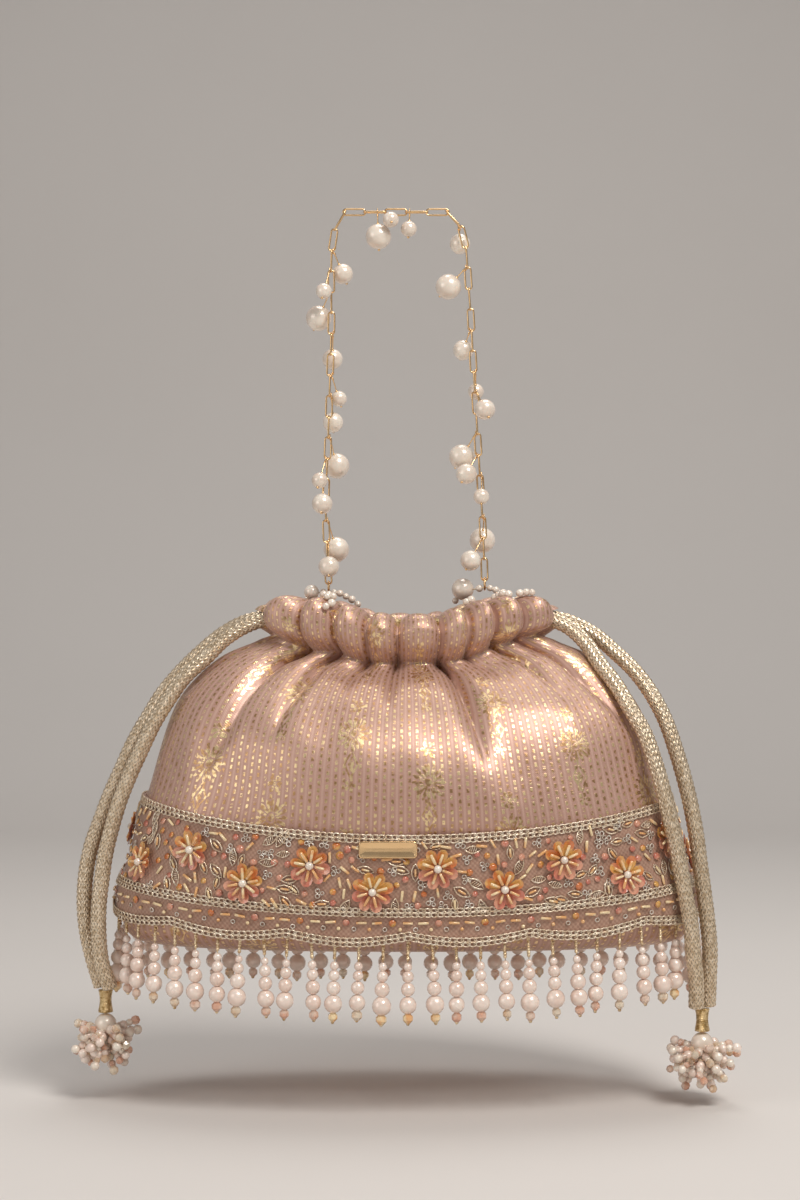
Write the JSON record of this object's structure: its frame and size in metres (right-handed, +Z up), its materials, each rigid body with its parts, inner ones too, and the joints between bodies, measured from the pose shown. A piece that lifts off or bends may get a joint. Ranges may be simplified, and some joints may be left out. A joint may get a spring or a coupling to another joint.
{
  "type": "potli bag",
  "caption": "Drawstring potli bag with an embroidered border, a bead fringe, tasselled cords and a chain handle hung with pearls.",
  "frame": {"origin": "middle of the chain handle's top run, where the bag is held or hung", "axes": "+Z up along the hanging bag, +X to the bag's right as seen from its front, the front faces -Y"},
  "size_m": [0.2543, 0.1108, 0.3426],
  "materials": {
    "brocade": "rose silk brocade woven with gold foil",
    "satin": "plain satin",
    "card": "plain",
    "zari_band": "dense gold and bead embroidery on net",
    "lurex_cord": "knitted metallic yarn",
    "gold": "polished, gold plated",
    "pearl": "pearl lacquer",
    "fringe_beads": "pearls and clear faceted beads"
  },
  "bodies": {
    "handle": {"chain_left": "gold", "chain_top": "gold", "chain_right": "gold"},
    "bag": {"outer_bag": "brocade", "lining": "satin", "base_board": "card", "embroidered_band": "zari_band", "name_plate": "gold", "fringe_01": "fringe_beads", "fringe_02": "fringe_beads", "fringe_03": "fringe_beads", "fringe_04": "fringe_beads", "fringe_05": "fringe_beads", "fringe_06": "fringe_beads", "fringe_07": "fringe_beads", "fringe_08": "fringe_beads", "fringe_09": "fringe_beads", "fringe_10": "fringe_beads", "drawcord_left_run": "lurex_cord", "drawcord_right_run": "lurex_cord", "drawcord_left_front": "lurex_cord", "drawcord_left_back": "lurex_cord", "drawcord_right_front": "lurex_cord", "drawcord_right_back": "lurex_cord", "tassel_left_wrap": "lurex_cord", "tassel_left_pearl": "pearl", "tassel_left_cluster": "fringe_beads", "tassel_right_wrap": "lurex_cord", "tassel_right_pearl": "pearl", "tassel_right_cluster": "fringe_beads", "anchor_ring_left": "gold", "anchor_ring_right": "gold", "bead_loop_left": "pearl", "bead_loop_right": "pearl"},
    "charm_left_01": {"charm_left_01": "pearl"},
    "charm_left_02": {"charm_left_02": "pearl"},
    "charm_left_03": {"charm_left_03": "pearl"},
    "charm_left_04": {"charm_left_04": "pearl"},
    "charm_left_05": {"charm_left_05": "pearl"},
    "charm_left_06": {"charm_left_06": "pearl"},
    "charm_left_07": {"charm_left_07": "pearl"},
    "charm_left_08": {"charm_left_08": "pearl"},
    "charm_left_09": {"charm_left_09": "pearl"},
    "charm_left_10": {"charm_left_10": "pearl"},
    "charm_left_11": {"charm_left_11": "pearl"},
    "charm_right_01": {"charm_right_01": "pearl"},
    "charm_right_02": {"charm_right_02": "pearl"},
    "charm_right_03": {"charm_right_03": "pearl"},
    "charm_right_04": {"charm_right_04": "pearl"},
    "charm_right_05": {"charm_right_05": "pearl"},
    "charm_right_06": {"charm_right_06": "pearl"},
    "charm_right_07": {"charm_right_07": "pearl"},
    "charm_right_08": {"charm_right_08": "pearl"},
    "charm_right_09": {"charm_right_09": "pearl"},
    "charm_right_10": {"charm_right_10": "pearl"},
    "charm_top_1": {"charm_top_1": "pearl"},
    "charm_top_2": {"charm_top_2": "pearl"},
    "charm_top_3": {"charm_top_3": "pearl"}
  },
  "joints": [
    {"name": "bag_swing", "type": "hinge", "parent": "handle", "child": "bag", "pos_m": [0, 0, -0.1446], "axis": [1, 0, 0], "range_deg": [-60, 60]},
    {"name": "swing_left_01", "type": "hinge", "parent": "handle", "child": "charm_left_01", "pos_m": [-0.02437, 0, -0.01514], "axis": [0.9962, 0, -0.087], "range_deg": [-10, 60]},
    {"name": "swing_left_02", "type": "hinge", "parent": "handle", "child": "charm_left_02", "pos_m": [-0.02593, 0, -0.02287], "axis": [0.9999, 0, -0.0101], "range_deg": [-60, 10]},
    {"name": "swing_left_03", "type": "hinge", "parent": "handle", "child": "charm_left_03", "pos_m": [-0.02588, 0, -0.03132], "axis": [1, 0, 0.0083], "range_deg": [-10, 60]},
    {"name": "swing_left_04", "type": "hinge", "parent": "handle", "child": "charm_left_04", "pos_m": [-0.02454, 0, -0.04757], "axis": [0.9998, 0, -0.0203], "range_deg": [-10, 60]},
    {"name": "swing_left_05", "type": "hinge", "parent": "handle", "child": "charm_left_05", "pos_m": [-0.025, 0, -0.06381], "axis": [0.9996, 0, -0.0284], "range_deg": [-10, 60]},
    {"name": "swing_left_06", "type": "hinge", "parent": "handle", "child": "charm_left_06", "pos_m": [-0.02523, 0, -0.07161], "axis": [0.9996, 0, -0.0287], "range_deg": [-5, 30]},
    {"name": "swing_left_07", "type": "hinge", "parent": "handle", "child": "charm_left_07", "pos_m": [-0.02571, 0, -0.08784], "axis": [0.9995, 0, -0.0331], "range_deg": [-5, 60]},
    {"name": "swing_left_08", "type": "hinge", "parent": "handle", "child": "charm_left_08", "pos_m": [-0.02737, 0, -0.09623], "axis": [0.999, 0, -0.0452], "range_deg": [-60, 5]},
    {"name": "swing_left_09", "type": "hinge", "parent": "handle", "child": "charm_left_09", "pos_m": [-0.0278, 0, -0.10401], "axis": [0.999, 0, -0.0438], "range_deg": [-10, 5]},
    {"name": "swing_left_10", "type": "hinge", "parent": "handle", "child": "charm_left_10", "pos_m": [-0.02661, 0, -0.12026], "axis": [0.9997, 0, 0.0256], "range_deg": [-5, 60]},
    {"name": "swing_left_11", "type": "hinge", "parent": "handle", "child": "charm_left_11", "pos_m": [-0.02629, 0, -0.12868], "axis": [0.9991, 0, 0.042], "range_deg": [-60, 10]},
    {"name": "swing_right_01", "type": "hinge", "parent": "handle", "child": "charm_right_01", "pos_m": [0.02463, 0, -0.006], "axis": [0.8789, 0, 0.477], "range_deg": [-10, 60]},
    {"name": "swing_right_02", "type": "hinge", "parent": "handle", "child": "charm_right_02", "pos_m": [0.02729, 0, -0.02167], "axis": [0.9976, 0, 0.0694], "range_deg": [-15, 60]},
    {"name": "swing_right_03", "type": "hinge", "parent": "handle", "child": "charm_right_03", "pos_m": [0.02886, 0, -0.04628], "axis": [0.9985, 0, 0.0542], "range_deg": [-15, 60]},
    {"name": "swing_right_04", "type": "hinge", "parent": "handle", "child": "charm_right_04", "pos_m": [0.03105, 0, -0.06243], "axis": [0.9985, 0, 0.0555], "range_deg": [-5, 60]},
    {"name": "swing_right_05", "type": "hinge", "parent": "handle", "child": "charm_right_05", "pos_m": [0.03151, 0, -0.07021], "axis": [0.9982, 0, 0.0593], "range_deg": [-60, 10]},
    {"name": "swing_right_06", "type": "hinge", "parent": "handle", "child": "charm_right_06", "pos_m": [0.03112, 0, -0.0865], "axis": [0.9983, 0, 0.0588], "range_deg": [-10, 60]},
    {"name": "swing_right_07", "type": "hinge", "parent": "handle", "child": "charm_right_07", "pos_m": [0.03161, 0, -0.09493], "axis": [0.9982, 0, 0.0592], "range_deg": [-60, 35]},
    {"name": "swing_right_08", "type": "hinge", "parent": "handle", "child": "charm_right_08", "pos_m": [0.03343, 0, -0.10264], "axis": [0.9982, 0, 0.0597], "range_deg": [-60, 5]},
    {"name": "swing_right_09", "type": "hinge", "parent": "handle", "child": "charm_right_09", "pos_m": [0.03438, 0, -0.11885], "axis": [0.9986, 0, 0.0536], "range_deg": [-5, 60]},
    {"name": "swing_right_10", "type": "hinge", "parent": "handle", "child": "charm_right_10", "pos_m": [0.03345, 0, -0.12735], "axis": [0.999, 0, 0.0443], "range_deg": [-60, 60]},
    {"name": "swing_top_1", "type": "hinge", "parent": "handle", "child": "charm_top_1", "pos_m": [-0.0072, -0.0012, 0], "axis": [1, 0, 0], "range_deg": [-10, 60]},
    {"name": "swing_top_2", "type": "hinge", "parent": "handle", "child": "charm_top_2", "pos_m": [-0.0026, 0, -0.0012], "axis": [1, 0, 0], "range_deg": [-60, 10]},
    {"name": "swing_top_3", "type": "hinge", "parent": "handle", "child": "charm_top_3", "pos_m": [0.0054, -0.0012, 0], "axis": [1, 0, 0], "range_deg": [-60, 60]}
  ]
}
